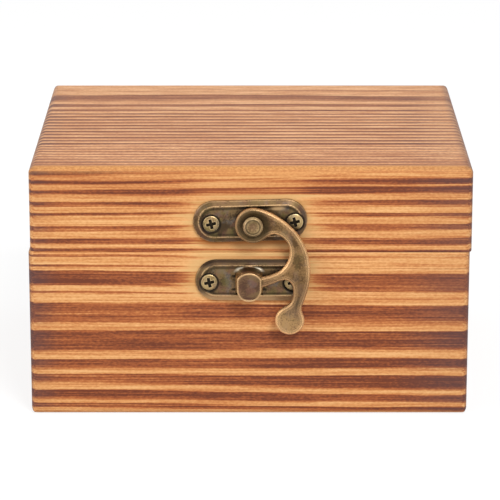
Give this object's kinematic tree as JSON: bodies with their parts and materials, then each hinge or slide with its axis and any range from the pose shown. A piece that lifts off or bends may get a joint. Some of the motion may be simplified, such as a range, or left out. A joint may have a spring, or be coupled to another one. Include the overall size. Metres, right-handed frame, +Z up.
{
  "type": "jack in the box",
  "caption": "Torched pine box with a hinged lid and a swing-hook latch; a turned wooden jack on a coil spring rises from it as the lid opens.",
  "frame": {"origin": "centre of the box's underside, on the surface it rests on", "axes": "+Z up, +X to the right as the latch is faced, -Y out of the front face that carries the latch"},
  "size_m": [0.1064, 0.1011, 0.062],
  "materials": {
    "torched_pine": "torched and oiled, satin",
    "raw_pine": "sanded, bare",
    "antique_bronze": "antique bronze plate, worn at the edges",
    "brass_screws": "antique brass plate",
    "spring_steel": "drawn wire",
    "skin_paint": "satin paint on turned wood",
    "red_paint": "satin paint on turned wood",
    "blue_paint": "satin paint on turned wood",
    "yellow_paint": "satin paint on turned wood",
    "dark_paint": "gloss paint on turned wood"
  },
  "bodies": {
    "base": {"base_front_board": "torched_pine", "base_back_board": "torched_pine", "base_left_board": "torched_pine", "base_right_board": "torched_pine", "base_bottom_board": "raw_pine", "keeper_plate": "antique_bronze", "keeper_screws": "brass_screws", "hinge_left_base_leaf": "antique_bronze", "hinge_right_base_leaf": "antique_bronze", "hinge_left_pin": "brass_screws", "hinge_right_pin": "brass_screws", "hinge_base_screws": "brass_screws", "spring_disc": "raw_pine", "spring_disc_screw": "spring_steel", "jack_spring": "spring_steel"},
    "lid": {"lid_top_board": "torched_pine", "lid_front_rail": "torched_pine", "lid_back_rail": "torched_pine", "lid_left_rail": "torched_pine", "lid_right_rail": "torched_pine", "hinge_left_lid_leaf": "antique_bronze", "hinge_right_lid_leaf": "antique_bronze", "hinge_lid_screws": "brass_screws", "hook_plate": "antique_bronze", "hook_plate_screws": "brass_screws", "hook_rivet": "antique_bronze", "pivot_washer": "antique_bronze"},
    "hook": {"latch_hook": "antique_bronze"},
    "jack": {"spring_plug": "red_paint", "neck_dowel": "raw_pine", "collar": "yellow_paint", "head": "skin_paint", "ears": "skin_paint", "eyes": "dark_paint", "nose": "red_paint", "hat": "blue_paint", "hat_brim": "yellow_paint", "hat_bobble": "red_paint"}
  },
  "joints": [
    {"name": "lid_hinge", "type": "hinge", "parent": "base", "child": "lid", "pos_m": [0, 0.047, 0.041], "axis": [-1, 0, 0], "range_deg": [0, 105]},
    {"name": "hook_swing", "type": "hinge", "parent": "lid", "child": "hook", "pos_m": [0.0009, -0.0486, 0.0486], "axis": [0, -1, 0], "range_deg": [0, 255]},
    {"name": "jack_rise", "type": "slide", "parent": "base", "child": "jack", "axis": [0, 0, 1], "range_m": [0, 0.06], "deforming": ["jack_spring"]}
  ],
  "couplings": [
    {"joint": "jack_rise", "follows": "lid_hinge", "m_per_rad": 0.0327}
  ]
}
